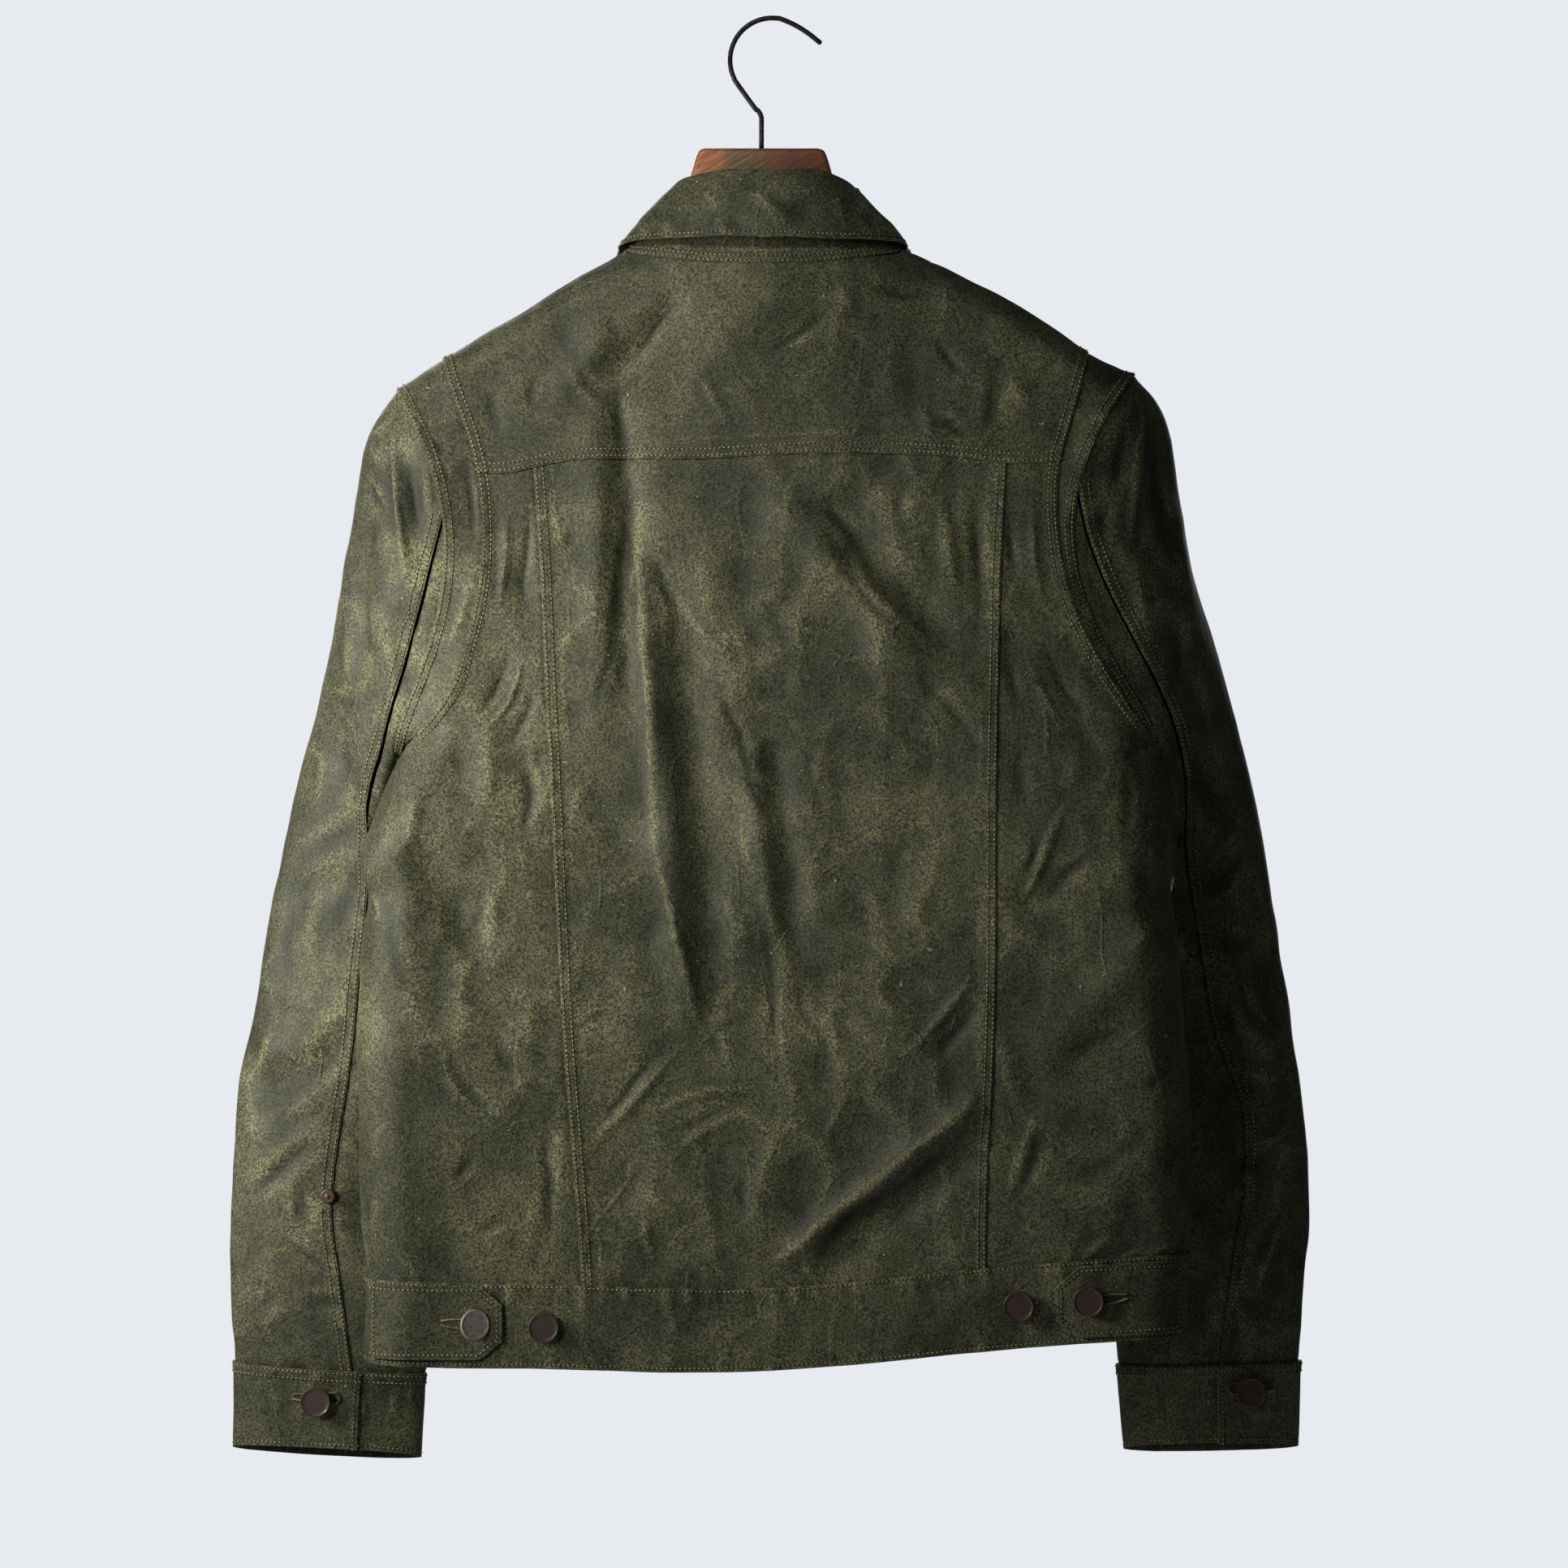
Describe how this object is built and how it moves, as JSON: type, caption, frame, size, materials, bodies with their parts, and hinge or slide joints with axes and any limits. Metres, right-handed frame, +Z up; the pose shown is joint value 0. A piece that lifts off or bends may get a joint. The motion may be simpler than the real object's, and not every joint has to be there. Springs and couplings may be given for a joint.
{
  "type": "waxed cotton jacket on a hanger",
  "caption": "Buttoned waxed cotton work jacket seen from the back, with a collar, yoke, waist tabs and cuffs, hanging on a wooden hanger with a wire hook.",
  "frame": {"origin": "underside of the crown of the hanger's hook, where a rail or a peg carries it", "axes": "+Z up; the jacket's back faces -Y and its buttoned front +Y; +X is to the right of someone looking at the back"},
  "size_m": [0.6499, 0.1259, 0.8649],
  "materials": {
    "waxed_cotton": "olive waxed cotton with a dull sheen, darker in its creases and scuffed pale on its ridges",
    "button_bronze": "dark aged bronze, lighter on the raised rims",
    "hanger_wood": "varnished two-tone hardwood with a satin sheen",
    "hook_steel": "darkened steel wire, semi-bright"
  },
  "bodies": {
    "root": {"back_centre": "waxed_cotton", "back_side_left": "waxed_cotton", "back_side_right": "waxed_cotton", "collar_fall": "waxed_cotton", "collar_stand": "waxed_cotton", "cuff_button_left": "button_bronze", "cuff_button_right": "button_bronze", "cuff_left": "waxed_cotton", "cuff_right": "waxed_cotton", "front_button_1": "button_bronze", "front_button_2": "button_bronze", "front_button_3": "button_bronze", "front_button_4": "button_bronze", "front_button_5": "button_bronze", "front_button_6": "button_bronze", "front_left": "waxed_cotton", "front_placket": "waxed_cotton", "front_right": "waxed_cotton", "hanger_bar": "hanger_wood", "hanger_hook": "hook_steel", "sleeve_band_left": "waxed_cotton", "sleeve_band_right": "waxed_cotton", "sleeve_rivet_left": "button_bronze", "sleeve_rivet_right": "button_bronze", "sleeve_top_left": "waxed_cotton", "sleeve_top_right": "waxed_cotton", "sleeve_under_left": "waxed_cotton", "sleeve_under_right": "waxed_cotton", "waist_button_left_inner": "button_bronze", "waist_button_left_outer": "button_bronze", "waist_button_right_inner": "button_bronze", "waist_button_right_outer": "button_bronze", "waist_tab_left": "waxed_cotton", "waist_tab_right": "waxed_cotton", "waistband": "waxed_cotton", "yoke": "waxed_cotton"}
  },
  "joints": []
}
